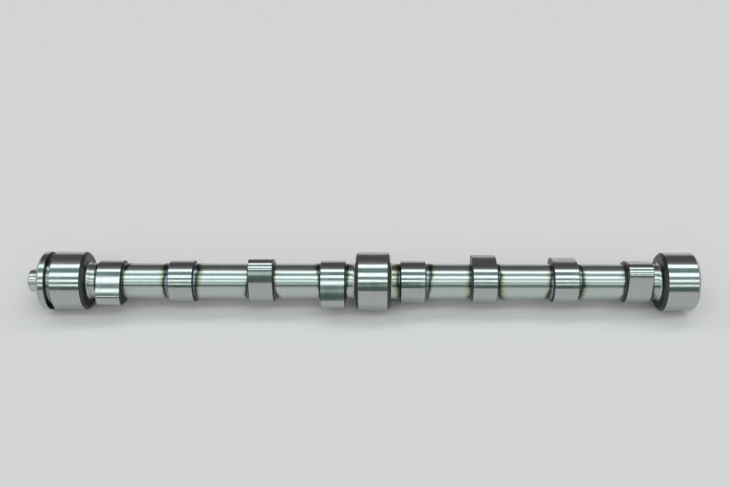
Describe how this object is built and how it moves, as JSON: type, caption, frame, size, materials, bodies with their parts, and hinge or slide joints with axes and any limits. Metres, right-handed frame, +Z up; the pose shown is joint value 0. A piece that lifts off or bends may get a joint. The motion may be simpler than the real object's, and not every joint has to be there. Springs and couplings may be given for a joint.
{
  "type": "camshaft",
  "caption": "Ground steel camshaft for a pushrod engine, with paired cam lobes between three bearing journals and a flanged gear end with spigot and thrust groove.",
  "frame": {"origin": "on the shaft's axis, at the face that the timing gear bolts to, where the spigot leaves it", "axes": "+X along the shaft towards the rear journal, +Z up, +Y completes the right-handed frame"},
  "size_m": [0.574, 0.0504, 0.0505],
  "materials": {
    "ground_steel": "bright ground steel: fine grinding lines round the journals and lobes, a satin turned shaft between them with straw, brown and blue heat tint beside the lobes"
  },
  "bodies": {
    "root": {"camshaft": "ground_steel"}
  },
  "joints": []
}
